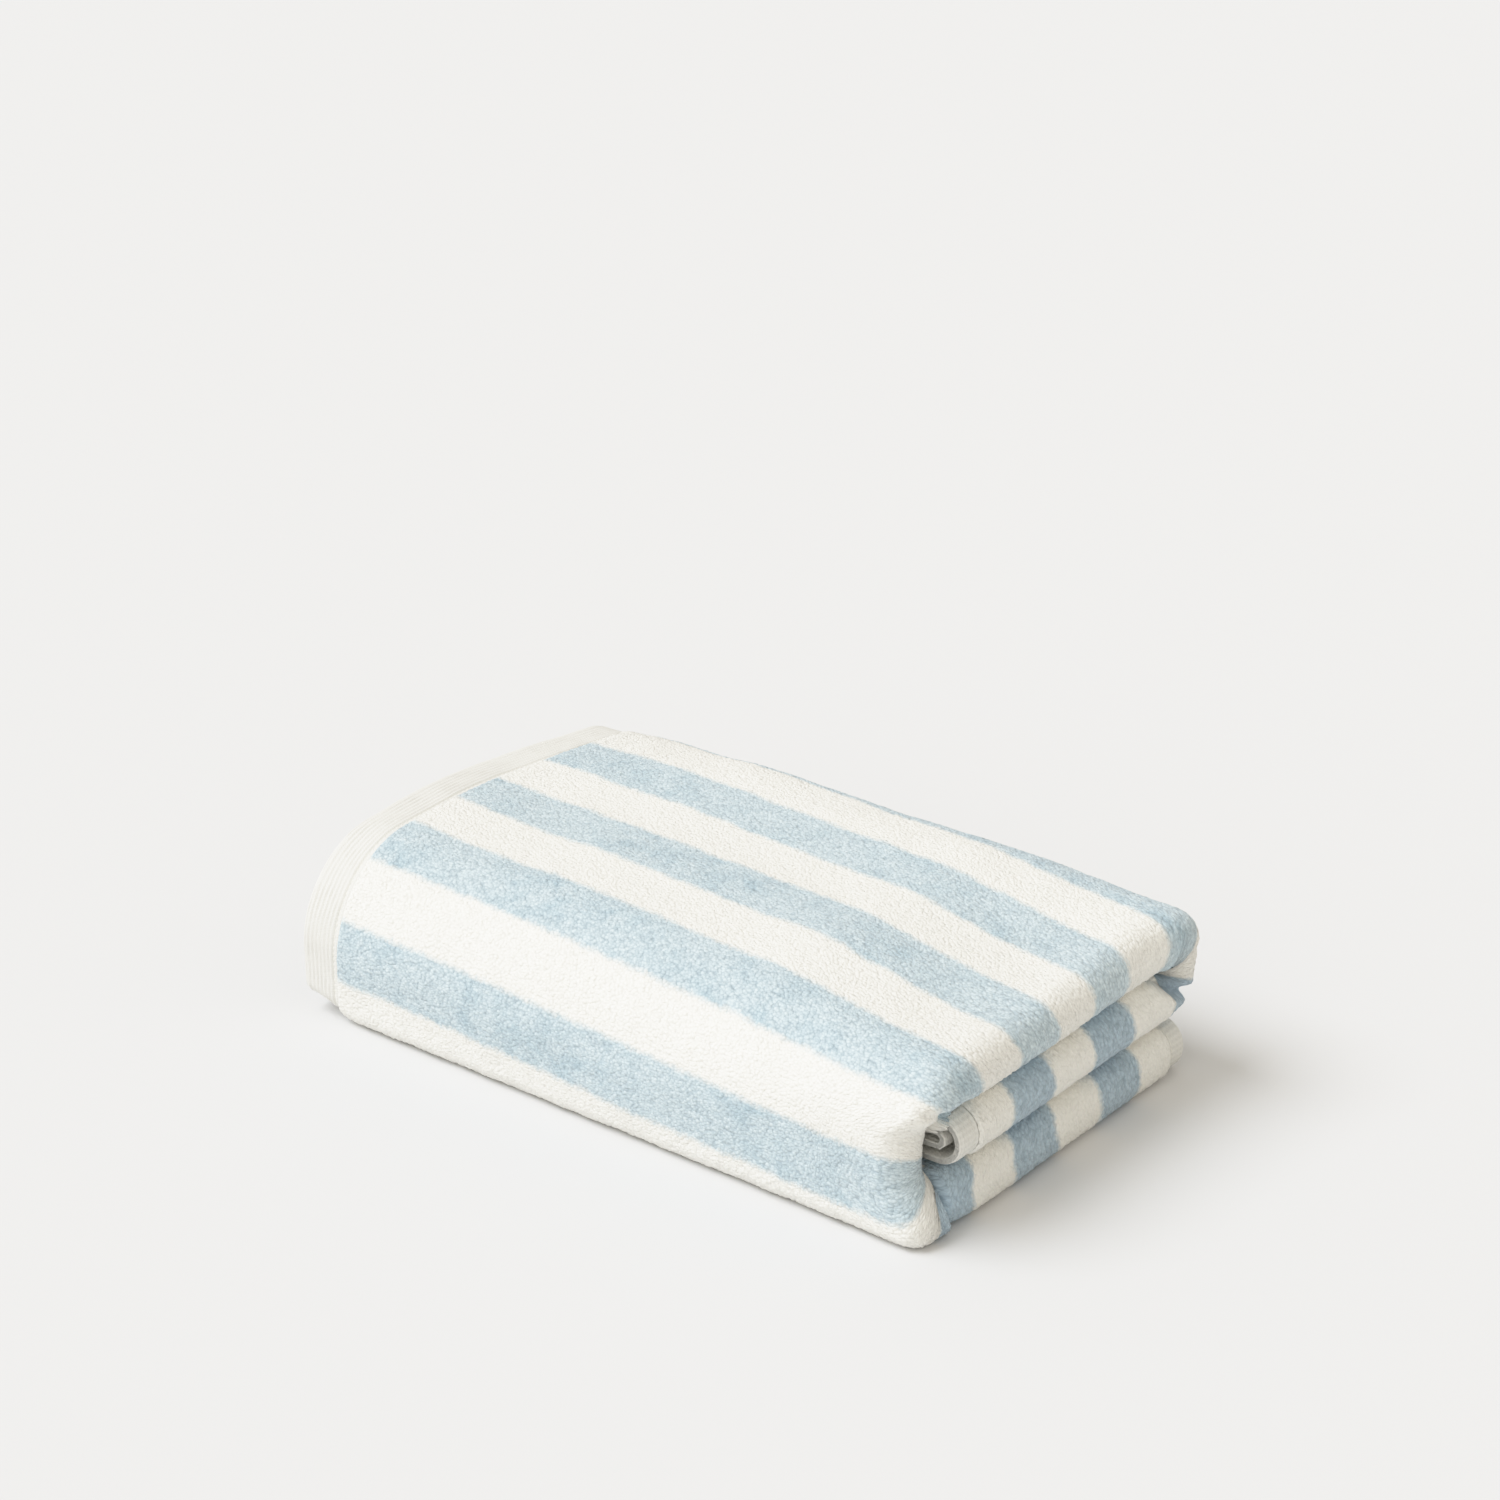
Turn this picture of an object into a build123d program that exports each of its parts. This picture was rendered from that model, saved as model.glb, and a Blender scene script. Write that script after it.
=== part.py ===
"""A hooded towel, folded in quarters along its length and then in three across its width.

Millimetres, +Z up. The origin is on the surface that the towel lies on, under the centre of
its box. X runs along the stripes: the cloth's woven ends lie at -X and its end folds at +X.
The spine, where the bottom band turns up into the top band, is the -Y side.
"""
from build123d import *
import os

os.makedirs("parts", exist_ok=True)

# The folded block
length = 327.0
width = 190.0
stack = 24.2  # four layers of cloth
gap = 0.3  # between bands on different bodies
height = 3 * stack + 2 * gap

# The hems
end_hem_width = 20.0
side_hem_width = 12.0
hem_thickness = 3.6
hem_inset = 1.2  # from the pile's face to the flat-woven hem
fold_setback = 4.0  # from the woven ends to the fold behind them

# The hood, doubled at its own middle and flat between two layers of the bottom band
hood_half_length = 150.0
hood_depth = 130.0
hood_hem_width = 14.0
hood_thickness = 3.4
hood_taper = 34.0
hood_clearance = 0.2

layer = stack / 4
left = -length / 2
right = length / 2
front = -width / 2
back = width / 2
half_stack = stack / 2

# The spine turns about two fold lines, at the middle of its thickness
fold_line_y = front + half_stack
lower_fold_z = half_stack
upper_fold_z = height - half_stack
spine_inner_y = front + stack
band_front_y = spine_inner_y + gap

# The middle and top bands share one bend at the back
bend_radius = stack + gap / 2
bend_centre_y = back - bend_radius
bend_centre_z = height - bend_radius
middle_z = stack + gap

outer_hem_depth = hem_inset
inner_hem_depth = 2 * layer - hem_inset - hem_thickness


def band_profile(inset=0.0):
    """One band from the side: X along the towel, Y the depth under its outer face.

    The woven ends are left out at -X, in the outer half of the depth. Behind them is the
    fold that the inner half ends in. The +X end is the round end fold.
    """
    near = inset
    far = stack - inset
    end_radius = (far - near) / 2
    end_start = right - half_stack
    inner_near = 2 * layer
    inner_radius = (far - inner_near) / 2
    inner_start = left + fold_setback + inner_radius
    hem_start = left + end_hem_width
    with BuildSketch() as profile:
        with BuildLine():
            Line((hem_start, near), (end_start, near))
            ThreePointArc(
                (end_start, near), (end_start + end_radius, half_stack), (end_start, far)
            )
            Line((end_start, far), (inner_start, far))
            ThreePointArc(
                (inner_start, far),
                (inner_start - inner_radius, inner_near + inner_radius),
                (inner_start, inner_near),
            )
            Line((inner_start, inner_near), (hem_start, inner_near))
            Line((hem_start, inner_near), (hem_start, near))
        make_face()
    return profile.sketch


def hem_profile(depth):
    """The cut across a woven end hem, in the same view as band_profile."""
    with BuildSketch() as profile:
        with Locations((left + end_hem_width / 2, depth + hem_thickness / 2)):
            Rectangle(end_hem_width, hem_thickness)
    return profile.sketch


def band_plane(y, z, face_down):
    """A plane across the towel at y, for profiles whose outer face is at z."""
    x_dir = (1, 0, 0)
    normal = (0, -1, 0) if face_down else (0, 1, 0)
    return Plane(origin=(0, y, z), x_dir=x_dir, z_dir=normal)


def spine_section(depth_from, depth_to):
    """The spine's outline between two depths, on its outer side and round both its bends."""
    with BuildSketch() as section:
        SlotOverall(height - 2 * depth_from, stack - 2 * depth_from, rotation=90)
        SlotOverall(
            height - 2 * depth_to, stack - 2 * depth_to, rotation=90, mode=Mode.SUBTRACT
        )
        with Locations((-half_stack, 0)):
            Rectangle(stack, height, mode=Mode.INTERSECT)
    return section.sketch


def hood_outline(grow=0.0):
    """Half of the hood, from the towel's side hem to the hood's face edge, as seen from above."""
    seam_y = back - side_hem_width
    start_x = left + end_hem_width - grow
    end_x = left + end_hem_width + hood_half_length + grow
    face_y = seam_y - hood_depth - hood_hem_width - grow
    bend_y = seam_y - hood_depth / 2
    with BuildSketch() as outline:
        with BuildLine():
            Line((start_x, seam_y), (end_x, seam_y))
            ThreePointArc(
                (end_x, seam_y),
                (end_x - hood_taper / 4, bend_y),
                (end_x - hood_taper, face_y),
            )
            Line((end_x - hood_taper, face_y), (start_x, face_y))
            Line((start_x, face_y), (start_x, seam_y))
        make_face()
    return outline.sketch


def write(part, name):
    part.label = name
    export_step(part, f"parts/{name}.step")


# ---------------------------------------------------------------- the bottom band
bottom_back_y = back - side_hem_width
hood_bottom_z = 3 * layer - hood_thickness / 2

with BuildPart() as bottom_panel:
    with BuildSketch(band_plane(bottom_back_y, 0, face_down=True)):
        add(band_profile())
    extrude(amount=bottom_back_y - band_front_y)
    with BuildSketch(Plane.XY.offset(hood_bottom_z - hood_clearance)):
        add(hood_outline(grow=hood_clearance))
    extrude(amount=hood_thickness + 2 * hood_clearance, mode=Mode.SUBTRACT)
write(bottom_panel.part, "bottom_panel")

with BuildPart() as bottom_side_hem:
    with BuildSketch(band_plane(back, 0, face_down=True)):
        add(band_profile(hem_inset))
    extrude(amount=side_hem_width)
write(bottom_side_hem.part, "bottom_side_hem")

with BuildPart() as bottom_outer_end_hem:
    with BuildSketch(band_plane(back, 0, face_down=True)):
        add(hem_profile(outer_hem_depth))
    extrude(amount=back - band_front_y)
write(bottom_outer_end_hem.part, "bottom_outer_end_hem")

with BuildPart() as bottom_inner_end_hem:
    with BuildSketch(band_plane(back, 0, face_down=True)):
        add(hem_profile(inner_hem_depth))
    extrude(amount=back - band_front_y)
write(bottom_inner_end_hem.part, "bottom_inner_end_hem")

# ---------------------------------------------------------------- the hood
hood_face_y = bottom_back_y - hood_depth

with BuildPart() as hood_panel:
    with BuildSketch(Plane.XY.offset(hood_bottom_z)):
        add(hood_outline())
    extrude(amount=hood_thickness)
    split(bisect_by=Plane.XZ.offset(-hood_face_y), keep=Keep.BOTTOM)
write(hood_panel.part, "hood_panel")

with BuildPart() as hood_face_hem:
    with BuildSketch(Plane.XY.offset(hood_bottom_z)):
        add(hood_outline())
    extrude(amount=hood_thickness)
    split(bisect_by=Plane.XZ.offset(-hood_face_y), keep=Keep.TOP)
write(hood_face_hem.part, "hood_face_hem")

# ---------------------------------------------------------------- the spine
spine_plane = Plane(origin=(left, fold_line_y, height / 2), x_dir=(0, 1, 0), z_dir=(1, 0, 0))

with BuildPart() as spine_panel:
    with BuildSketch(spine_plane):
        SlotOverall(height, stack, rotation=90)
    extrude(amount=length)
    with BuildSketch(Plane.XY):
        with Locations((0, front)):
            add(band_profile())
    extrude(amount=height, mode=Mode.INTERSECT)
write(spine_panel.part, "spine_panel")

with BuildPart() as spine_outer_end_hem:
    with BuildSketch(spine_plane):
        add(spine_section(outer_hem_depth, outer_hem_depth + hem_thickness))
    extrude(amount=end_hem_width)
write(spine_outer_end_hem.part, "spine_outer_end_hem")

with BuildPart() as spine_inner_end_hem:
    with BuildSketch(spine_plane):
        add(spine_section(inner_hem_depth, inner_hem_depth + hem_thickness))
    extrude(amount=end_hem_width)
write(spine_inner_end_hem.part, "spine_inner_end_hem")

# ---------------------------------------------------------------- the top band
top_plane = band_plane(band_front_y, height, face_down=False)
top_run = bend_centre_y - band_front_y

with BuildPart() as top_panel:
    with BuildSketch(top_plane):
        add(band_profile())
    extrude(amount=top_run)
write(top_panel.part, "top_panel")

with BuildPart() as top_outer_end_hem:
    with BuildSketch(top_plane):
        add(hem_profile(outer_hem_depth))
    extrude(amount=top_run)
write(top_outer_end_hem.part, "top_outer_end_hem")

with BuildPart() as top_inner_end_hem:
    with BuildSketch(top_plane):
        add(hem_profile(inner_hem_depth))
    extrude(amount=top_run)
write(top_inner_end_hem.part, "top_inner_end_hem")

# ---------------------------------------------------------------- the back bend
bend_plane = band_plane(bend_centre_y, height, face_down=False)
bend_axis = Axis((0, bend_centre_y, bend_centre_z), (1, 0, 0))

with BuildPart() as back_bend:
    with BuildSketch(bend_plane):
        add(band_profile())
    revolve(axis=bend_axis, revolution_arc=-180)
write(back_bend.part, "back_bend")

with BuildPart() as back_outer_end_hem:
    with BuildSketch(bend_plane):
        add(hem_profile(outer_hem_depth))
    revolve(axis=bend_axis, revolution_arc=-180)
write(back_outer_end_hem.part, "back_outer_end_hem")

with BuildPart() as back_inner_end_hem:
    with BuildSketch(bend_plane):
        add(hem_profile(inner_hem_depth))
    revolve(axis=bend_axis, revolution_arc=-180)
write(back_inner_end_hem.part, "back_inner_end_hem")

# ---------------------------------------------------------------- the middle band
middle_plane = band_plane(bend_centre_y, middle_z, face_down=True)
middle_run = bend_centre_y - band_front_y

with BuildPart() as middle_panel:
    with BuildSketch(middle_plane):
        add(band_profile())
    extrude(amount=middle_run - side_hem_width)
write(middle_panel.part, "middle_panel")

with BuildPart() as middle_side_hem:
    with BuildSketch(band_plane(band_front_y + side_hem_width, middle_z, face_down=True)):
        add(band_profile(hem_inset))
    extrude(amount=side_hem_width)
write(middle_side_hem.part, "middle_side_hem")

with BuildPart() as middle_outer_end_hem:
    with BuildSketch(middle_plane):
        add(hem_profile(outer_hem_depth))
    extrude(amount=middle_run)
write(middle_outer_end_hem.part, "middle_outer_end_hem")

with BuildPart() as middle_inner_end_hem:
    with BuildSketch(middle_plane):
        add(hem_profile(inner_hem_depth))
    extrude(amount=middle_run)
write(middle_inner_end_hem.part, "middle_inner_end_hem")
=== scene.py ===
"""A striped velour hooded towel, folded into a block: its looks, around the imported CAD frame.

The towel is one sheet of cloth. A point of it is named by two lengths in metres: `along`, from
the woven end of the outer layer to the woven end of the inner one, and `across`, from the side
hem of the bottom band to the side hem of the middle band. Two paths carry such a point to its
place in the folded towel: lengthwise() folds the sheet in quarters along X, and section() folds
that stack of four layers in three, in the YZ plane. settle() then lets the block relax.
"""

import math

import bpy
import numpy as np
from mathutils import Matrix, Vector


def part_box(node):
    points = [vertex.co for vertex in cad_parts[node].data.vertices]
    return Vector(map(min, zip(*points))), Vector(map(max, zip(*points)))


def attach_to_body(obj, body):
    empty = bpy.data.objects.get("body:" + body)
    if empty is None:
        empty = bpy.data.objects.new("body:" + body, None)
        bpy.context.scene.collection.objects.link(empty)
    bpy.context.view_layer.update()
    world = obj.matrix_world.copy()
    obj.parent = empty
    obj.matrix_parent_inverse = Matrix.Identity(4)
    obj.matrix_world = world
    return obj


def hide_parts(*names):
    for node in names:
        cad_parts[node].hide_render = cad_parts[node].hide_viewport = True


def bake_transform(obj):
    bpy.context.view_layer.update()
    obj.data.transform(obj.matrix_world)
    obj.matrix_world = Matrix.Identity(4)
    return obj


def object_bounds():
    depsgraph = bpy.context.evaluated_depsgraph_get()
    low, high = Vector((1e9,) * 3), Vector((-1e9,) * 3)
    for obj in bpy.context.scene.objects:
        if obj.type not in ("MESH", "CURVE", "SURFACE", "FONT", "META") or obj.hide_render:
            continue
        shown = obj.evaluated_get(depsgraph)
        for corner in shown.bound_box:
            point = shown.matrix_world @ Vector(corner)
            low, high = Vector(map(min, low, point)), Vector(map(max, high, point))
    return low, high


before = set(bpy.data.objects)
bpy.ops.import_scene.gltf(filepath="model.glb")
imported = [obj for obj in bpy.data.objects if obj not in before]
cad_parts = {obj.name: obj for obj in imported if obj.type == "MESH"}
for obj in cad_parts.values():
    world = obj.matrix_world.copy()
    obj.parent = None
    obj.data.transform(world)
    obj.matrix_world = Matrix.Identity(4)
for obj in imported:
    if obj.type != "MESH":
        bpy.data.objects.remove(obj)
cad_low, cad_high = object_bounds()

MM = 0.001

# ------------------------------------------------------------------ sizes, from the frame
band_low, band_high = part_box("bottom_panel")
LENGTH = cad_high[0] - cad_low[0]
HEIGHT = cad_high[2] - cad_low[2]
STACK = band_high[2] - band_low[2]
LAYER = STACK / 4
LEFT, RIGHT = cad_low[0], cad_high[0]
FRONT, BACK = cad_low[1], cad_high[1]

# ------------------------------------------------------------------ the cloth
PILE_HALF = 2.75 * MM  # half the thickness of the velour
HEM_HALF = 1.55 * MM  # and of the flat-woven hems
END_HEM = 20 * MM
SIDE_HEM = 12 * MM
TUFT = 1.15 * MM  # from one tuft of the pile to the next
TUFT_HEIGHT = 0.26 * MM  # how far single tufts stand above or below the rest
CLUMP_HEIGHT = 0.14 * MM
BUNCH_HEIGHT = 0.10 * MM
RIB_PITCH = 2.3 * MM
RIB_HEIGHT = 0.26 * MM
SEAM_DEPTH = 0.45 * MM
SEAM_INSET = 2.2 * MM  # from the inner edge of a hem to its stitches
STITCH = 2.8 * MM
STRIPE = 27.9 * MM
STRIPE_PHASE = 9.2 * MM  # width across of the first, partial stripe
STRIPE_BLUR = 3.2 * MM  # over which one colour passes into the other

# The hood, folded flat between two layers of the bottom band; lengths across, as the cloth's
HOOD_START = 12 * MM
HOOD_HEM_START = 126 * MM
HOOD_END = 140 * MM
HOOD_LENGTH = 146 * MM  # where it is longest, at its start
HOOD_TAPER = 34 * MM
HOOD_FROM_END = 24 * MM
HOOD_DEPTH = 3 * LAYER
HOOD_HALF = 0.55 * MM

# ------------------------------------------------------------------ the fold across the width
FRONT_PROUD = 3.0 * MM  # how far the spine stands in front of the CAD block
BACK_PROUD = 9.4 * MM  # and the bends behind it
FLOOR_RADIUS = 8 * MM  # of the outer face, where the spine meets the floor
TOP_RADIUS = 44 * MM  # and where it rolls over into the top
RIGHT_TOP_RADIUS = 30 * MM  # and the same at its right end
INNER_TOP_RADIUS = 17 * MM  # and of the stack's inner face there
BEND_RADIUS = STACK + 0.15 * MM
EDGE_INSET = 1.0 * MM  # of the bottom band's side hem from the back of the block
SIDE_CLEARANCE = 3.5 * MM  # between the middle band's side hem and the spine
SPINE_PULL = 11 * MM  # how far the spine's right end is drawn back
BEND_SLACK = 9 * MM  # more cloth in the back bend than its radius needs, because it springs

QUARTER = math.pi / 2
SPINE_FACE = FRONT - FRONT_PROUD
BEND_CENTRE = BACK + BACK_PROUD - BEND_RADIUS
BOTTOM_RUN = BACK - EDGE_INSET - SPINE_FACE - FLOOR_RADIUS
SPINE_RUN = HEIGHT - FLOOR_RADIUS - TOP_RADIUS
TOP_RUN = BEND_CENTRE - SPINE_FACE - TOP_RADIUS
MIDDLE_RUN = BEND_CENTRE - SPINE_FACE - STACK - SIDE_CLEARANCE
# Lengths of the outer face across the sheet, one for each run and bend
SECTION = [
    BOTTOM_RUN,
    QUARTER * FLOOR_RADIUS,
    SPINE_RUN,
    QUARTER * TOP_RADIUS,
    TOP_RUN,
    2 * QUARTER * BEND_RADIUS + BEND_SLACK,
    MIDDLE_RUN,
]
SECTION_STARTS = np.concatenate([[0.0], np.cumsum(SECTION)])
CLOTH_WIDTH = SECTION_STARTS[-1]
TOP_END = SECTION_STARTS[5]
BEND_END = SECTION_STARTS[6]

# Where one piece of the cloth ends and the next begins, as lengths across the sheet
SPINE_START = SECTION_STARTS[1] - 52 * MM
SPINE_MIDDLE = SECTION_STARTS[3] + 7 * MM
TOP_START = SECTION_STARTS[4] + 28 * MM
BACK_START = TOP_END
MIDDLE_START = BEND_END

# ------------------------------------------------------------------ sizes of the soft shape
ASKEW_LEFT = 4.5 * MM  # how far the cloth has slid across the section, at each end
ASKEW_RIGHT = 5.0 * MM
UNDER_SLIDE = 8 * MM  # and how far the bottom band has, at the right end
BEND_TAKES = 4 * MM
WIDE_WAVES = 0.8 * MM  # of the spine and the top
NARROW_WAVES = 0.45 * MM
SPRING = 4.5 * MM  # rise of the top over the back bend, at the left end
SPRING_RIGHT = 3.6 * MM  # and how much more over the rest of its length
DROOP = 3.0 * MM  # of the back bend's right end
DOME = 7.5 * MM  # of the top
RIDGE = 1.2 * MM  # across the top, near its right end
DRAWN = 0.8 * MM  # how far the woven ends are drawn in along X
DRAWN_BACK = 12.5 * MM  # and how much more at the back
END_PROUD = 3.5 * MM  # how far the end folds stand out along X
FOOT_PROUD = 4.0 * MM  # and how much more on the floor
FOOT_HEIGHT = 14 * MM
EAR_PROUD = 6.0 * MM  # and at the back of the top
CORNER_LIFT = 6.0 * MM  # of the spine's lower left corner off the floor
BUCKLE = 2.5 * MM  # of the crease between the spine and the bottom band

# ------------------------------------------------------------------ the fold along the length
OUTER_TURN = STACK / 2 - LAYER / 2  # radius of the sheet's middle in the outer end fold
INNER_TURN = LAYER / 2
FOLD_SETBACK = 4 * MM
A_RUN = LENGTH - STACK / 2
B_RUN = LENGTH - STACK / 2 - FOLD_SETBACK - LAYER
C_RUN = B_RUN - 0.5 * MM
D_RUN = LENGTH - STACK / 2 - 2.5 * MM
# (length, radius, +1 where it bends away from the outer face, -1 where it bends towards it)
LENGTHWISE = [
    (A_RUN, None, 0),
    (2 * QUARTER * OUTER_TURN, OUTER_TURN, 1),
    (B_RUN, None, 0),
    (2 * QUARTER * INNER_TURN, INNER_TURN, 1),
    (C_RUN, None, 0),
    (2 * QUARTER * INNER_TURN, INNER_TURN, -1),
    (D_RUN, None, 0),
]
CLOTH_LENGTH = sum(run for run, _, _ in LENGTHWISE)


def ramp(value, start, end):
    """0 before start, 1 after end, smooth between."""
    t = np.clip((value - start) / (end - start), 0, 1)
    return t * t * (3 - 2 * t)


def walk(path, start, heading, at):
    """Points and normals at the lengths `at` of a path of runs and bends.

    Each item of the path is (length, radius or None, turn). A turn of 1 bends to the left, and
    the normals point to the right.
    """
    at = np.asarray(at, float)
    point, direction = np.array(start, float), np.array(heading, float)
    points, normals = np.zeros(at.shape + (2,)), np.zeros(at.shape + (2,))
    began = 0.0

    def follow(radius, left, lengths):
        lengths = lengths[:, None]
        if radius is None:
            return point + lengths * direction, np.broadcast_to(direction, (len(lengths), 2))
        turned = lengths / radius
        across = radius * (np.sin(turned) * direction + (1 - np.cos(turned)) * left)
        return point + across, np.cos(turned) * direction + np.sin(turned) * left

    for index, (run, radius, turn) in enumerate(path):
        left = np.array([-direction[1], direction[0]]) * (turn or 1)
        here = at >= began if index else np.ones(at.shape, bool)
        p, d = follow(radius, left, at[here] - began)
        points[here], normals[here] = p, np.stack([d[:, 1], -d[:, 0]], -1)
        (point,), (direction,) = follow(radius, left, np.array([run]))
        began += run
    return points, normals


def drift(across, depth, x):
    """How far the cloth has slid across the section, as it was folded a little askew."""
    # the spine and the top: one way at the left end and the other at the right
    askew = ASKEW_LEFT - (ASKEW_LEFT + ASKEW_RIGHT) * ramp(x, -0.9 * RIGHT, 0.95 * RIGHT)
    askew = askew * ramp(across, 0, 80 * MM)
    askew = askew * (1 - ramp(across, CLOTH_WIDTH - 170 * MM, CLOTH_WIDTH - 110 * MM))
    # the bottom band: forwards at the right end, and more in its deeper layers
    under = ramp(across, 0, 140 * MM) * (1 - ramp(across, 164 * MM, 200 * MM))
    under = under * (UNDER_SLIDE + np.clip(depth, 0, 15 * MM)) * ramp(x, 0, RIGHT)
    # the cloth that the springing back bend has taken from the top
    behind = ramp(across, TOP_END - 80 * MM, TOP_END)
    behind = behind * (1 - ramp(across, TOP_END + 15 * MM, TOP_END + 90 * MM))
    return askew + under - BEND_TAKES * behind


def section(across, depth, x):
    """(y, z) at a length across the sheet, a depth under its outer face, and a place along X.

    The layers turn their corners at the spine with nearly one radius, not about one centre, so
    a gap opens inside each corner, as it does in a real stack of towelling.
    """
    outer_top = TOP_RADIUS + (RIGHT_TOP_RADIUS - TOP_RADIUS) * ramp(x, 0.25 * RIGHT, RIGHT)
    tighter = TOP_RADIUS - outer_top
    runs = list(SECTION)
    runs[2] = runs[2] + tighter
    runs[3] = QUARTER * outer_top
    runs[4] = runs[4] + tighter
    across = across + drift(across, depth, x)
    runs[6] = CLOTH_WIDTH - sum(runs[:6])
    shares, began = [], 0.0
    for index, run in enumerate(runs):
        low = None if index == 0 else 0
        high = None if index == len(runs) - 1 else 1
        shares.append(np.clip((across - began) / run, low, high))
        began = began + run
    floor_radius = FLOOR_RADIUS - 0.2 * depth
    top_radius = outer_top - (outer_top - INNER_TOP_RADIUS) * depth / STACK
    bend_radius = BEND_RADIUS - depth
    face = SPINE_FACE + depth
    y = BACK - EDGE_INSET - shares[0] * (BACK - EDGE_INSET - face - floor_radius)
    z = cad_low[2] + depth
    y = y - floor_radius * np.sin(QUARTER * shares[1])
    z = z + floor_radius * (1 - np.cos(QUARTER * shares[1]))
    z = z + shares[2] * (HEIGHT - 2 * depth - floor_radius - top_radius)
    y = y + top_radius * (1 - np.cos(QUARTER * shares[3]))
    z = z + top_radius * np.sin(QUARTER * shares[3])
    y = y + shares[4] * (BEND_CENTRE - face - top_radius)
    y = y + bend_radius * np.sin(2 * QUARTER * shares[5])
    z = z - bend_radius * (1 - np.cos(2 * QUARTER * shares[5]))
    return y - shares[6] * MIDDLE_RUN, z


def cut_width(start, end):
    """How much cloth lies between two lengths across, as the mean of the four layers."""
    middles = LAYER * (np.arange(4) + 0.5)
    across = np.linspace(start, end, 400)
    y, z = section(across[:, None], middles[None], 0.0)
    return float(np.hypot(np.diff(y, axis=0), np.diff(z, axis=0)).sum(0).mean())


def lengthwise(along):
    """(x, depth under the outer face) of the sheet's middle, and its show side's normal."""
    return walk(LENGTHWISE, (LEFT, LAYER / 2), (1, 0), along)


# ------------------------------------------------------------------ noise, the same each run
def chance(i, j, seed):
    """A number from -1 to 1 for each pair of whole numbers."""
    h = (i.astype(np.int64) * 374761393 + j.astype(np.int64) * 668265263 + seed * 2246822519)
    h = (h ^ (h >> 13)) * 1274126177 & 0xFFFFFFFF
    h = (h ^ (h >> 16)) & 0xFFFFFF
    return h / 0x7FFFFF - 1.0


def noise(u, v, cell, seed):
    """Smooth noise from -1 to 1, with features about one cell across."""
    u, v = np.broadcast_arrays(np.asarray(u, float) / cell, np.asarray(v, float) / cell)
    i, j = np.floor(u), np.floor(v)
    a, b = u - i, v - j
    a, b = a * a * (3 - 2 * a), b * b * (3 - 2 * b)
    low = chance(i, j, seed) * (1 - a) + chance(i + 1, j, seed) * a
    high = chance(i, j + 1, seed) * (1 - a) + chance(i + 1, j + 1, seed) * a
    return low * (1 - b) + high * b


# ------------------------------------------------------------------ how the block relaxes
def settle(p):
    """Moves points of the square folded block to where the soft towel's are."""
    x, y, z = p[..., 0], p[..., 1], p[..., 2]
    out = p.copy()
    right = x / RIGHT
    back = y / BACK
    high = z / HEIGHT
    # the back bend springs open, more than the flat stack, and droops at its right end
    spring = SPRING + SPRING_RIGHT * ramp(right, -1.0, -0.55)
    spring = spring * ramp(back, 0.05, 0.85) * ramp(high, 0.55, 0.95)
    droop = DROOP * ramp(back, 0.2, 1.0) * ramp(right, 0.55, 1.0) * ramp(high, 0.3, 1.0)
    # the top is a dome that falls off towards the right end
    dome = np.clip(1 - ((back + 0.07) / 1.07) ** 2, 0, 1) * (1 - ramp(right, 0.35, 1.0))
    ridge = np.exp(-(((right - 0.42) / 0.13) ** 2)) * np.clip(1 - (back - 0.3) ** 2, 0, 1)
    crown = (DOME * dome + RIDGE * ridge) * ramp(high, 0.35, 1.0)
    # the lower left corner of the spine is off the floor
    corner = ramp(-right, 0.82, 1.0) * ramp(-back, 0.6, 1.0) * np.clip(1 - high, 0, 1)
    out[..., 2] += spring + crown - droop + CORNER_LIFT * corner
    # the woven ends are drawn in, most at the back
    drawn = DRAWN + DRAWN_BACK * ramp(back, 0.05, 0.85)
    out[..., 0] += drawn * ramp(-right, 0.5, 1.0) * ramp(high, 0.3, 0.8)
    # the end folds stand a little to the right, most on the floor and at the back of the top
    foot = np.clip(1 - z / FOOT_HEIGHT, 0, 1) ** 2
    out[..., 0] += ramp(right, 0.75, 1.0) * (END_PROUD + FOOT_PROUD * foot)
    ear = ramp(right, 0.8, 1.0) * ramp(back, 0.55, 1.0) * ramp(high, 0.6, 0.95)
    out[..., 0] += EAR_PROUD * ear
    # and crease where they turn a corner
    out[..., 0] += ramp(x, RIGHT - 24 * MM, RIGHT - 6 * MM) * creases(y, z)
    out[..., 0] -= ramp(x, RIGHT - 66 * MM, RIGHT - 2 * MM) * pulled_in(y, z)
    return out


def crease_line(z):
    """y of the crease between the spine's end fold and the bottom band's, at a height."""
    buckled = np.sin(math.pi * np.clip(z / STACK, 0, 1))
    return SPINE_FACE + STACK + 0.3 * MM - BUCKLE * buckled


def crease(y, z, start, degrees, depth, width, reach):
    """A wavy crease that runs from `start` outwards, at an angle above +Y."""
    ahead = (math.cos(math.radians(degrees)), math.sin(math.radians(degrees)))
    dy, dz = y - start[0], z - start[1]
    out = dy * ahead[0] + dz * ahead[1]
    off = dz * ahead[0] - dy * ahead[1]
    off = off + 0.9 * MM * np.sin(out / (4.5 * MM))
    groove = np.exp(-((off / width) ** 2))
    shoulders = np.exp(-((off / (2.6 * width)) ** 2))
    along = ramp(out, -4 * MM, 1 * MM) * (1 - ramp(out, 0.5 * reach, reach))
    return -depth * (groove - 0.35 * shoulders) * along


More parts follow.
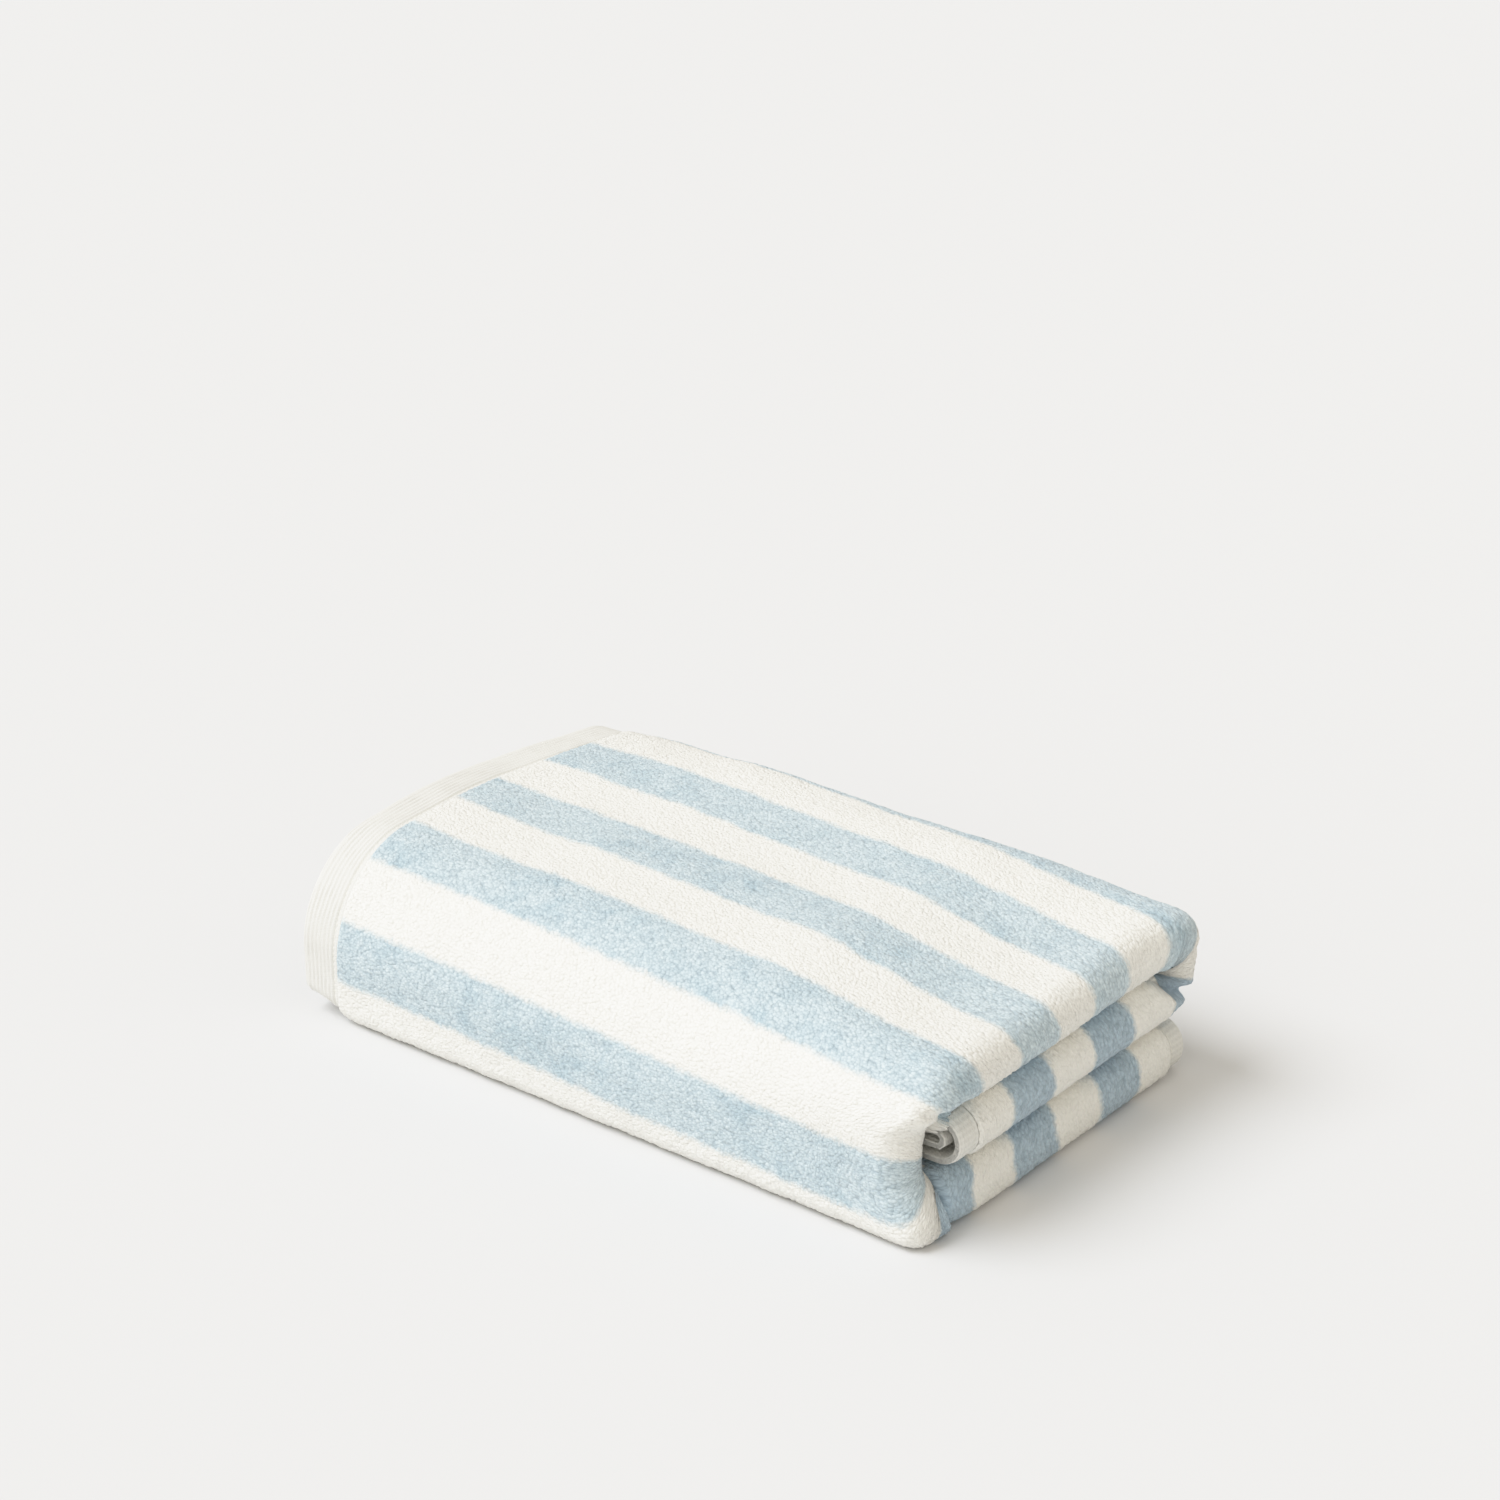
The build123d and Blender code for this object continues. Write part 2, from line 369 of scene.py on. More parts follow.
def creases(y, z):
    """How far the end folds stand out along X where they turn a corner of the section.

    A fold of four layers can't turn sharply, so it buckles into a crease on the inside of each
    turn: one under the spine, one over it, and one in the back bend.
    """
    inner = SPINE_FACE + STACK
    behind = y - crease_line(z)
    recess = -3.5 * MM * np.exp(-behind / (8 * MM))
    bulge = 1.2 * MM * np.exp(behind / (9 * MM))
    step = np.where(behind > 0, recess, bulge)
    sharp = ramp(np.abs(behind), 0, 1.6 * MM)
    under = (step * sharp - 3.0 * MM * (1 - sharp)) * (1 - ramp(z, 22 * MM, 27 * MM))
    under = under * (1 - ramp(behind, 22 * MM, 30 * MM))
    start = (inner + 2 * MM, 2 * STACK + 1 * MM)
    over = crease(y, z, start, degrees=150, depth=3.0 * MM, width=2.2 * MM, reach=26 * MM)
    start = (BEND_CENTRE - 4 * MM, 2 * STACK)
    bend = crease(y, z, start, degrees=-32, depth=7.0 * MM, width=2.6 * MM, reach=36 * MM)
    start = (BEND_CENTRE - 2 * MM, 2 * STACK)
    bend += crease(y, z, start, degrees=20, depth=2.5 * MM, width=2.4 * MM, reach=30 * MM)
    return under + over + bend


def pulled_in(y, z):
    """How far the right end of the spine is drawn back along X, between its two creases."""
    fade = 2.0 * MM + 16 * MM * ramp(z, 2 * STACK - 5 * MM, 2 * STACK + 4 * MM)
    spine = 1 - ramp((y - crease_line(z)) / fade, 0, 1)
    return SPINE_PULL * spine * ramp(z, 2 * MM, 30 * MM) * (1 - ramp(z, 45 * MM, 60 * MM))


def undulation(x, across):
    """Slow waves of the spine and the top, as a change of depth."""
    seen = ramp(across, SECTION_STARTS[1], SECTION_STARTS[2] + 10 * MM)
    seen = seen * (1 - ramp(across, TOP_END, BEND_END))
    wide = WIDE_WAVES * noise(x, across, 46 * MM, 3)
    narrow = NARROW_WAVES * noise(x, across, 19 * MM, 5)
    return seen * (wide + narrow)


def rounded(inside, reach):
    """0 at an edge and 1 from `reach` inside it, as a quarter circle."""
    t = np.clip(inside / reach, 0, 1)
    return np.sqrt(np.clip(1 - (1 - t) ** 2, 0, 1))


def pile(along, across, side):
    """Half the velour's thickness: clumps of tufts, and a round lip beside the hems."""
    seed = 11 if side > 0 else 29
    clumps = CLUMP_HEIGHT * noise(along, across, 7.0 * MM, seed)
    bunches = BUNCH_HEIGHT * noise(along, across, 1.8 * MM, seed + 1)
    from_end = np.minimum(along - END_HEM, CLOTH_LENGTH - END_HEM - along)
    from_side = np.minimum(across - SIDE_HEM, CLOTH_WIDTH - SIDE_HEM - across)
    lip = rounded(np.minimum(from_end, from_side) + 0.5 * MM, 2.2 * MM)
    return (PILE_HALF + clumps + bunches) * lip


def shaggy(along, across, side):
    """The same with single tufts standing out, for the points but not their normals."""
    cell = 0.1 * MM
    ends = chance(np.rint(along / cell), np.rint(across / cell), 17 if side > 0 else 19)
    return pile(along, across, side) + TUFT_HEIGHT * ends


def hem(edge):
    """Half the thickness of a woven hem, turned under and stitched down.

    edge gives the distance of a point from the hem's fold, and the hem's width.
    """

    def thickness(along, across, side):
        inside, width = edge(along, across)
        wander = 0.25 * MM * noise(along, across, 9 * MM, 41)
        rib = RIB_HEIGHT * np.cos((inside + wander) * (2 * math.pi / RIB_PITCH))
        rib = rib * (0.8 + 0.4 * noise(along, across, 5 * MM, 43))
        weft = 0.05 * MM * noise(along, across, 0.9 * MM, 47)
        seam = np.exp(-(((inside - width + SEAM_INSET) / (0.9 * MM)) ** 2))
        edge_round = rounded(inside + 0.25 * MM, 1.6 * MM)
        return (HEM_HALF + rib + weft - SEAM_DEPTH * seam) * edge_round

    return thickness


def cloth(along, across, side, thickness):
    """Points of one face of the cloth. side is 1 for the show face and -1 for the back."""
    along, across = np.broadcast_arrays(along, across)
    place, normal = lengthwise(along)
    raised = side * thickness(along, across, side)
    x = place[..., 0] + raised * normal[..., 0]
    depth = place[..., 1] + raised * normal[..., 1]
    depth = depth - undulation(x, across) * np.clip(1 - depth / STACK, 0, 1)
    y, z = section(across, depth, x)
    return settle(np.stack([x, y, z], -1))


# ------------------------------------------------------------------ meshes
def spaced(start, end, step):
    """Lengths from start to end, both included, about step apart."""
    return np.linspace(start, end, max(2, int(round((end - start) / step)) + 1))


def joined(*stretches):
    """One list of lengths from stretches that meet end to end."""
    return np.concatenate([stretches[0]] + [s[1:] for s in stretches[1:]])


def thinned(lengths, keep):
    """Indices of every keep-th length, with both ends."""
    index = list(range(0, len(lengths) - 1, keep)) + [len(lengths) - 1]
    return np.array(index)


def grid_normals(points):
    """Normals of a grid of points that has one more row and column at each side."""
    du = points[2:, 1:-1] - points[:-2, 1:-1]
    dv = points[1:-1, 2:] - points[1:-1, :-2]
    n = np.cross(du, dv)
    return n / np.maximum(np.linalg.norm(n, axis=-1, keepdims=True), 1e-12)


def padded_lengths(lengths):
    """The lengths with one more at each end, for normals."""
    return np.concatenate(
        [[2 * lengths[0] - lengths[1]], lengths, [2 * lengths[-1] - lengths[-2]]]
    )


def slab(name, along, across, thickness, keep=(4, 3), rough=None):
    """A closed piece of cloth over the lengths given, fine on its show face, coarser behind."""
    rows, columns = thinned(along, keep[0]), thinned(across, keep[1])
    back_along, back_across = along[rows], across[columns]

    def face(u, v, side):
        smooth = cloth(padded_lengths(u)[:, None], padded_lengths(v)[None], side, thickness)
        points = cloth(u[:, None], v[None], side, rough) if rough else smooth[1:-1, 1:-1]
        return points, side * grid_normals(smooth)

    show, show_normals = face(along, across, 1)
    behind, behind_normals = face(back_along, back_across, -1)

    def quads(count_u, count_v, first, flip):
        i, j = np.meshgrid(np.arange(count_u - 1), np.arange(count_v - 1), indexing="ij")
        a = first + i * count_v + j
        around = [a, a + count_v, a + count_v + 1, a + 1]
        return np.stack(around[::-1] if flip else around, -1).reshape(-1, 4)

    fine = quads(len(along), len(across), 0, False)
    first = len(along) * len(across)
    coarse = quads(len(rows), len(columns), first, True)

    def at_show(i, j):
        return i * len(across) + j

    def at_back(i, j):
        return first + i * len(columns) + j

    rims = []
    for j_show, j_back, turn in ((0, 0, True), (len(across) - 1, len(columns) - 1, False)):
        for i in range(len(rows) - 1):
            top = [at_show(k, j_show) for k in range(rows[i], rows[i + 1] + 1)]
            loop = top + [at_back(i + 1, j_back), at_back(i, j_back)]
            rims.append(loop if turn else loop[::-1])
    for i_show, i_back, turn in ((0, 0, False), (len(along) - 1, len(rows) - 1, True)):
        for j in range(len(columns) - 1):
            top = [at_show(i_show, k) for k in range(columns[j], columns[j + 1] + 1)]
            loop = top + [at_back(i_back, j + 1), at_back(i_back, j)]
            rims.append(loop if turn else loop[::-1])

    points = np.concatenate([show.reshape(-1, 3), behind.reshape(-1, 3)])
    normals = np.concatenate([show_normals.reshape(-1, 3), behind_normals.reshape(-1, 3)])
    lengths = np.zeros((len(points), 3), np.float32)
    lengths[:first, 0] = np.repeat(along, len(across))
    lengths[:first, 1] = np.tile(across, len(along))
    lengths[first:, 0] = np.repeat(back_along, len(back_across)) + CLOTH_LENGTH
    lengths[first:, 1] = np.tile(back_across, len(back_along))
    rim = set()
    for loop in rims:
        rim.update(loop)
    return piece_from(name, points, [fine, coarse], rims, normals, lengths, np.array(sorted(rim)))


def new_object(name, data):
    made = bpy.data.objects.new(name, data)
    bpy.context.scene.collection.objects.link(made)
    return made


def store_lengths(mesh, lengths):
    """Keeps each point's (along, across, 0) on the cloth, for the materials."""
    attribute = mesh.attributes.new("cloth", "FLOAT_VECTOR", "POINT")
    attribute.data.foreach_set("vector", lengths.ravel())


def piece_from(name, points, quad_sets, rims, normals, lengths, rim):
    """A mesh object from arrays, with its cloth lengths and its own smooth normals."""
    corners = [q.reshape(-1) for q in quad_sets] + [np.array(r) for r in rims]
    sizes = np.concatenate(
        [np.full(len(q), 4) for q in quad_sets] + [np.array([len(r) for r in rims], int)]
    )
    loops = np.concatenate(corners).astype(np.int32)
    starts = np.concatenate([[0], np.cumsum(sizes)[:-1]]).astype(np.int32)
    mesh = bpy.data.meshes.new(name)
    mesh.vertices.add(len(points))
    mesh.vertices.foreach_set("co", points.astype(np.float32).ravel())
    mesh.loops.add(len(loops))
    mesh.loops.foreach_set("vertex_index", loops)
    mesh.polygons.add(len(sizes))
    mesh.polygons.foreach_set("loop_start", starts)
    mesh.polygons.foreach_set("loop_total", sizes.astype(np.int32))
    mesh.update(calc_edges=True)
    mesh.validate()
    mesh.shade_smooth()
    on_rim = np.zeros(len(points), bool)
    on_rim[rim] = True
    ends = np.zeros(len(mesh.edges) * 2, np.int32)
    mesh.edges.foreach_get("vertices", ends)
    sharp = mesh.attributes.new("sharp_edge", "BOOLEAN", "EDGE")
    sharp.data.foreach_set("value", on_rim[ends].reshape(-1, 2).all(1))
    face_loops = sum(q.size for q in quad_sets)
    loop_normals = normals[loops]
    loop_normals[face_loops:] = 0  # zero keeps the mesh's own normal
    mesh.normals_split_custom_set(loop_normals.tolist())
    store_lengths(mesh, lengths)
    return new_object(name, mesh)


# ------------------------------------------------------------------ materials
def new_material(name):
    material = bpy.data.materials.new(name)
    material.use_nodes = True
    nodes, links = material.node_tree.nodes, material.node_tree.links
    return material, nodes, links, nodes["Principled BSDF"]


def math_node(nodes, links, operation, a, b=None, c=None, clamp=False):
    node = nodes.new("ShaderNodeMath")
    node.operation, node.use_clamp = operation, clamp
    for socket, value in zip(node.inputs, (a, b, c)):
        if value is None:
            continue
        if isinstance(value, (int, float)):
            socket.default_value = value
        else:
            links.new(value, socket)
    return node.outputs[0]


def cloth_material(name):
    """A material that is textured by the lengths on the cloth, and its maths helper."""
    material, nodes, links, shader = new_material(name)
    lengths = nodes.new("ShaderNodeAttribute")
    lengths.attribute_name = "cloth"
    vector = lengths.outputs["Vector"]
    split = nodes.new("ShaderNodeSeparateXYZ")
    links.new(vector, split.inputs[0])

    def m(operation, a, b=None, c=None, clamp=False):
        return math_node(nodes, links, operation, a, b, c, clamp)

    return material, nodes, links, shader, vector, split, m


def add_bump(nodes, links, shader, height, strength, distance):
    bump = nodes.new("ShaderNodeBump")
    bump.inputs["Strength"].default_value = strength
    bump.inputs["Distance"].default_value = distance
    links.new(height, bump.inputs["Height"])
    links.new(bump.outputs[0], shader.inputs["Normal"])


def noise_node(nodes, links, vector, size, detail=2.0, roughness=0.5):
    """Noise with features about `size` metres across, from 0 to 1."""
    node = nodes.new("ShaderNodeTexNoise")
    node.inputs["Scale"].default_value = 1 / size
    node.inputs["Detail"].default_value = detail
    node.inputs["Roughness"].default_value = roughness
    links.new(vector, node.inputs["Vector"])
    return node.outputs["Fac"]


def smooth_step(nodes, links, value, start, end):
    """0 at start and 1 at end, smooth between; start may be the greater."""
    node = nodes.new("ShaderNodeMapRange")
    node.interpolation_type = "SMOOTHSTEP"
    links.new(value, node.inputs["Value"])
    node.inputs["From Min"].default_value, node.inputs["From Max"].default_value = start, end
    return node.outputs["Result"]


def mix_node(nodes, links, factor, a, b, blend="MIX"):
    node = nodes.new("ShaderNodeMix")
    node.data_type, node.blend_type = "RGBA", blend
    for socket, value in ((node.inputs[0], factor), (node.inputs[6], a), (node.inputs[7], b)):
        if isinstance(value, (int, float)):
            socket.default_value = value
        elif isinstance(value, tuple):
            socket.default_value = (*value, 1)
        else:
            links.new(value, socket)
    return node.outputs[2]


CREAM = (0.93, 0.915, 0.855)
BLUE = (0.605, 0.705, 0.745)
NAP_BLUE = (0.44, 0.565, 0.63)  # where the nap lies flat
SHADED_BAND_BLUE = (0.43, 0.54, 0.62)  # painted shade: a darker blue for the two bands folded in, the bottom and middle bands, which lie in shade at the end folds
SHADED_BOTTOM = (200 * MM, 181 * MM)  # where that starts and is full, as lengths across
SHADED_MIDDLE = (458 * MM, 481 * MM)
BLUE_GAIN = 1.42  # makes up for the painted shade between the tufts
HEM_CREAM = (0.87, 0.86, 0.81)
THREAD_CREAM = (0.86, 0.845, 0.78)


def scaled(colour, factor):
    return tuple(min(1.0, c * factor) for c in colour)


def velour(striped=True):
    """Cut-pile velour: tufts that each take one dye, a pale sheen, and a nap that lies unevenly."""
    name = "striped_velour" if striped else "plain_velour"
    material, nodes, links, shader, vector, split, m = cloth_material(name)
    # tufts are a little longer along the sheet than across it
    stretched = nodes.new("ShaderNodeVectorMath")
    stretched.operation = "MULTIPLY"
    links.new(vector, stretched.inputs[0])
    stretched.inputs[1].default_value = (0.85, 1.0, 1.0)
    cells = nodes.new("ShaderNodeTexVoronoi")
    cells.inputs["Scale"].default_value = 1 / TUFT
    links.new(stretched.outputs[0], cells.inputs["Vector"])
    cell = nodes.new("ShaderNodeSeparateXYZ")
    links.new(cells.outputs["Color"], cell.inputs[0])
    dome = m("SUBTRACT", 1.0, m("POWER", cells.outputs["Distance"], 1.6), clamp=True)
    fibre = noise_node(nodes, links, vector, 0.5 * MM, 2.0, 0.6)
    bunch = noise_node(nodes, links, vector, 2.6 * MM, 2.0, 0.6)
    patch = noise_node(nodes, links, vector, 13 * MM, 3.0, 0.6)
    sweep = noise_node(nodes, links, vector, 45 * MM, 2.0, 0.5)
    # stripes: their edges wander a little, and blur where the tufts lean across them
    sway = m("MULTIPLY_ADD", patch, 4.0 * MM, -2.0 * MM)
    wander = m("ADD", sway, m("MULTIPLY_ADD", bunch, 2.4 * MM, -1.2 * MM))
    ragged = m("MULTIPLY_ADD", cell.outputs["X"], 0.8 * MM, -0.4 * MM)
    across = m("ADD", m("SUBTRACT", split.outputs["Y"], STRIPE_PHASE), m("ADD", wander, ragged))
    wave = m("SINE", m("MULTIPLY", across, math.pi / STRIPE))
    blue_share = m("MULTIPLY_ADD", wave, -STRIPE / math.pi / STRIPE_BLUR, 0.5, clamp=True)
    # painted light and shade: lighter on each tuft's top and darker between the tufts; also tone
    # uneven from tuft to tuft, and darker where the nap lies flat
    lit = m("MULTIPLY_ADD", dome, 0.55, m("MULTIPLY_ADD", cell.outputs["Y"], 0.5, -0.16))
    lit = m("ADD", lit, m("MULTIPLY_ADD", fibre, 0.4, -0.2), clamp=True)
    lit = m("MULTIPLY_ADD", bunch, 0.5, m("SUBTRACT", lit, 0.25), clamp=True)
    nap = m("MULTIPLY_ADD", patch, 4.0, -1.65, clamp=True)
    nap = m("MULTIPLY", nap, m("MULTIPLY_ADD", sweep, 4.0, -1.5, clamp=True))
    # painted shade: the blue of the bottom and middle bands is darkened, chosen by lengths across
    in_bottom = smooth_step(nodes, links, split.outputs["Y"], *SHADED_BOTTOM)
    in_middle = smooth_step(nodes, links, split.outputs["Y"], *SHADED_MIDDLE)
    band_shade = m("ADD", in_bottom, in_middle)
    cream = mix_node(nodes, links, lit, scaled(CREAM, 0.96), scaled(CREAM, 1.06))
    blue = mix_node(nodes, links, m("MULTIPLY", nap, 0.8), BLUE, NAP_BLUE)
    blue = mix_node(nodes, links, m("MULTIPLY", band_shade, 0.95), blue, SHADED_BAND_BLUE)
    # painted shade between the tufts, multiplied into the blue
    shade = mix_node(nodes, links, lit, (0.52, 0.54, 0.56), (0.91, 0.90, 0.89))
    blue = mix_node(nodes, links, 1.0, blue, shade, "MULTIPLY")
    blue = mix_node(nodes, links, 1.0, blue, (BLUE_GAIN,) * 3, "MULTIPLY")
    colour = mix_node(nodes, links, blue_share, cream, blue) if striped else cream
    links.new(colour, shader.inputs["Base Color"])
    shader.inputs["Roughness"].default_value = 0.95
    shader.inputs["Specular IOR Level"].default_value = 0.12
    shader.inputs["Sheen Weight"].default_value = 0.30
    shader.inputs["Sheen Roughness"].default_value = 0.55
    height = m("ADD", m("MULTIPLY", dome, 0.75), m("MULTIPLY", fibre, 0.35))
    height = m("ADD", height, m("MULTIPLY", cell.outputs["Z"], 0.35))
    add_bump(nodes, links, shader, height, 1.0, 0.75 * MM)
    return material


def woven():
    """The flat-woven hems: fine ribs along the edge, crossed by the weft."""
    material, nodes, links, shader, vector, split, m = cloth_material("woven_hem")
    grain = noise_node(nodes, links, vector, 1.4 * MM, 3.0, 0.6)
    patch = noise_node(nodes, links, vector, 18 * MM, 2.0, 0.5)
    rib = m("SINE", m("MULTIPLY", split.outputs["X"], 2 * math.pi / RIB_PITCH))
    weft = m("SINE", m("MULTIPLY", split.outputs["Y"], 2 * math.pi / (1.3 * MM)))
    weave = m("MULTIPLY_ADD", m("MULTIPLY", rib, weft), 0.2, m("MULTIPLY_ADD", rib, 0.3, 0.5))
    shade = m("ADD", m("MULTIPLY", weave, 0.6), m("MULTIPLY", grain, 0.5))
    shade = m("MULTIPLY_ADD", shade, 1.0, -0.1, clamp=True)
    dull = scaled(HEM_CREAM, 0.8)
    colour = mix_node(nodes, links, shade, dull, HEM_CREAM)
    colour = mix_node(nodes, links, m("MULTIPLY", patch, 0.10), colour, dull)
    links.new(colour, shader.inputs["Base Color"])
    shader.inputs["Roughness"].default_value = 0.85
    shader.inputs["Specular IOR Level"].default_value = 0.2
    shader.inputs["Sheen Weight"].default_value = 0.15
    height = m("MULTIPLY_ADD", grain, 0.5, weave)
    add_bump(nodes, links, shader, height, 0.7, 0.35 * MM)
    return material


def thread():
    material, _, _, shader = new_material("thread")
    shader.inputs["Base Color"].default_value = (*THREAD_CREAM, 1)
    shader.inputs["Roughness"].default_value = 0.6
    shader.inputs["Sheen Weight"].default_value = 0.2
    return material


VELOUR = velour()
PLAIN_VELOUR = velour(striped=False)
WOVEN = woven()
THREAD = thread()

# ------------------------------------------------------------------ how fine the meshes are
FINE = 0.9 * MM
MEDIUM = 1.8 * MM
COARSE = 5 * MM
END_STRETCH = 40 * MM  # of each layer at the end folds, where the folds show
LIP_WIDTH = 3 * MM  # where the pile rounds down to a side hem
LIP_STEP = 0.5 * MM

A_END = A_RUN
TURN_END = A_END + 2 * QUARTER * OUTER_TURN
B_END = TURN_END + B_RUN
FOLD_END = B_END + 2 * QUARTER * INNER_TURN
C_END = FOLD_END + C_RUN
INNER_END = C_END + 2 * QUARTER * INNER_TURN


def rows_along(outer_step, b_step):
    """Lengths along the sheet between its two woven ends."""
    return joined(
        spaced(END_HEM, A_END - END_STRETCH, outer_step),
        spaced(A_END - END_STRETCH, TURN_END, FINE),
        spaced(TURN_END, TURN_END + 12 * MM, FINE * 1.5),
        spaced(TURN_END + 12 * MM, B_END, b_step),
        spaced(B_END, FOLD_END, 1.2 * MM),
        spaced(FOLD_END, C_END, COARSE),
        spaced(C_END, INNER_END, 1.2 * MM),
        spaced(INNER_END, CLOTH_LENGTH - END_HEM, COARSE),
    )


# ------------------------------------------------------------------ the pieces
# Places along a line from the origin that goes 60 degrees up, forwards for the lower joint and
# backwards for the upper one, for where the cloth would start and end to turn with each joint;
# attach() doesn't turn it
LOWER_TURN = (39 * MM, 66 * MM)
UPPER_TURN = (-2.6 * MM, 24.4 * MM)
TURN = (0.0, math.cos(math.radians(60)), math.sin(math.radians(60)))
LOWER_BLEND = ("base", "spine", (0, -TURN[1], TURN[2]), *LOWER_TURN)
UPPER_BLEND = ("spine", "cover", TURN, *UPPER_TURN)

# name: (from, to, step across, step along layer A, step along layer B, body or blend)
STRETCHES = {
    "bottom": (SIDE_HEM, SPINE_START, 1.2 * MM, 3 * MM, MEDIUM, "base"),
    "spine_lower": (SPINE_START, SPINE_MIDDLE, FINE, FINE, MEDIUM, LOWER_BLEND),
    "spine_upper": (SPINE_MIDDLE, TOP_START, FINE, FINE, MEDIUM, UPPER_BLEND),
    "top": (TOP_START, BACK_START, FINE, FINE, COARSE, "cover"),
    "back": (BACK_START, MIDDLE_START, FINE, FINE, COARSE, "cover"),
    "middle": (MIDDLE_START, CLOTH_WIDTH - SIDE_HEM, 1.2 * MM, MEDIUM, COARSE, "cover"),
}
NODE = {
    "bottom": "bottom_panel", "spine_lower": "spine_panel", "spine_upper": "spine_panel",
    "top": "top_panel", "back": "back_bend", "middle": "middle_panel",
}


def attach(piece, to):
    """The piece rides on a body; one given a blend between two bodies rides on neither and only has
    its transform baked.
    """
    if isinstance(to, str):
        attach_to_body(piece, to)
        return
    first, second, towards, start, end = to
    start, end = (tuple(place * t for t in towards) for place in (start, end))
    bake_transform(piece)


def paint(piece, material):
    piece.data.materials.append(material)


def from_end(along, across):
    return np.minimum(along, CLOTH_LENGTH - along), END_HEM


def from_side(along, across):
    return np.minimum(across, CLOTH_WIDTH - across), SIDE_HEM


def add_cloth():
    for name, (start, end, step, a_step, b_step, body) in STRETCHES.items():
        along = rows_along(a_step, b_step)
        across = spaced(start, end, step)
        if name == "bottom":
            lip = start + LIP_WIDTH
            across = joined(spaced(start, lip, LIP_STEP), spaced(lip, end, step))
        if name == "middle":
            lip = end - LIP_WIDTH
            across = joined(spaced(start, lip, step), spaced(lip, end, LIP_STEP))
        piece = slab(f"{name}_cloth", along, across, pile, rough=shaggy)
        paint(piece, VELOUR)
        attach(piece, body)
        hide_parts(NODE[name])
        flat = (cut_width(start, end), along[-1] - along[0])


def add_end_hems():
    edge_rows = joined(spaced(0, 1.5 * MM, 0.3 * MM), spaced(1.5 * MM, END_HEM, 0.5 * MM))
    ends = {"outer": edge_rows, "inner": (CLOTH_LENGTH - edge_rows)[::-1]}
    for which, along in ends.items():
        for name, (start, end, step, *_, body) in STRETCHES.items():
            first = 0 if name == "bottom" else start
            last = CLOTH_WIDTH if name == "middle" else end
            across = spaced(first, last, 0.9 * MM if which == "outer" else 2.4 * MM)
            piece = slab(f"{name}_{which}_end_hem_cloth", along, across, hem(from_end), keep=(3, 3))
            paint(piece, WOVEN)
            attach(piece, body)
            stretch = NODE[name].split("_")[0]
            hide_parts(f"{stretch}_{which}_end_hem")


def add_side_hems():
    along = rows_along(MEDIUM, MEDIUM)
    edge_columns = joined(spaced(0, 1.5 * MM, 0.3 * MM), spaced(1.5 * MM, SIDE_HEM, 0.5 * MM))
    for name, across, body in (
        ("bottom", edge_columns, "base"),
        ("middle", (CLOTH_WIDTH - edge_columns)[::-1], "cover"),
    ):
        piece = slab(f"{name}_side_hem_cloth", along, across, hem(from_side), keep=(2, 3))
        paint(piece, WOVEN)
        attach(piece, body)
        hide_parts(f"{name}_side_hem")


def along_line(along, across, thickness):
    """Places and outward directions on the show face."""
    nudge = 0.2 * MM
    here = cloth(along, across, 1, thickness)
    du = cloth(along + nudge, across, 1, thickness) - here
    dv = cloth(along, across + nudge, 1, thickness) - here
    out = np.cross(du, dv)
    return here, out / np.linalg.norm(out, axis=-1, keepdims=True)


def stitches(name, along, across, thickness):
    """A row of short thread stitches, each a tapered bead, along a line of the cloth."""
    here, out = along_line(along, across, thickness)
    pitch_ends = here[1:] - here[:-1]
    run = pitch_ends / np.linalg.norm(pitch_ends, axis=-1, keepdims=True)
    centre, out = (here[1:] + here[:-1]) / 2, out[:-1]
    side = np.cross(run, out)
    # the thread shows over four fifths of the pitch
    half_length = 0.40 * np.linalg.norm(pitch_ends, axis=-1)[:, None]
    # (place from -1 to 1 along the stitch, radius in mm)
    rings = [(-1.0, 0.10), (-0.75, 0.27), (0.0, 0.33), (0.75, 0.27), (1.0, 0.10)]
    sides = 6
    points = []
    for place, radius in rings:
        sink = 0.10 * MM - 0.30 * MM * place**2
        for k in range(sides):
            turn = 2 * math.pi * k / sides
            ring = math.cos(turn) * side + math.sin(turn) * out
            points.append(centre + place * half_length * run + radius * MM * ring + sink * out)
    points = np.stack(points, 1)
    count = points.shape[1]
    faces = []
    for stitch in range(len(points)):
        first = stitch * count
        for ring in range(len(rings) - 1):
            for k in range(sides):
                a, b = first + ring * sides + k, first + ring * sides + (k + 1) % sides
                faces.append((a, b, b + sides, a + sides))
        faces.append(tuple(first + k for k in range(sides))[::-1])
        faces.append(tuple(first + (len(rings) - 1) * sides + k for k in range(sides)))
    mesh = bpy.data.meshes.new(name)
    mesh.from_pydata(points.reshape(-1, 3).tolist(), [], faces)
    mesh.shade_smooth()
    return new_object(name, mesh)


def add_stitches():
    line = END_HEM - SEAM_INSET
    for name, (start, end, *_, body) in STRETCHES.items():
        across = spaced(start, end, STITCH)
        along = np.full(across.shape, line)
        piece = stitches(f"{name}_end_hem_stitches", along, across, hem(from_end))
        paint(piece, THREAD)
        attach(piece, body)
    along = spaced(END_HEM, B_END, STITCH)
    for name, line, body in (
        ("bottom", SIDE_HEM - SEAM_INSET, "base"),
        ("middle", CLOTH_WIDTH - SIDE_HEM + SEAM_INSET, "cover"),
    ):
        across = np.full(along.shape, line)
        piece = stitches(f"{name}_side_hem_stitches", along, across, hem(from_side))
        paint(piece, THREAD)
        attach(piece, body)


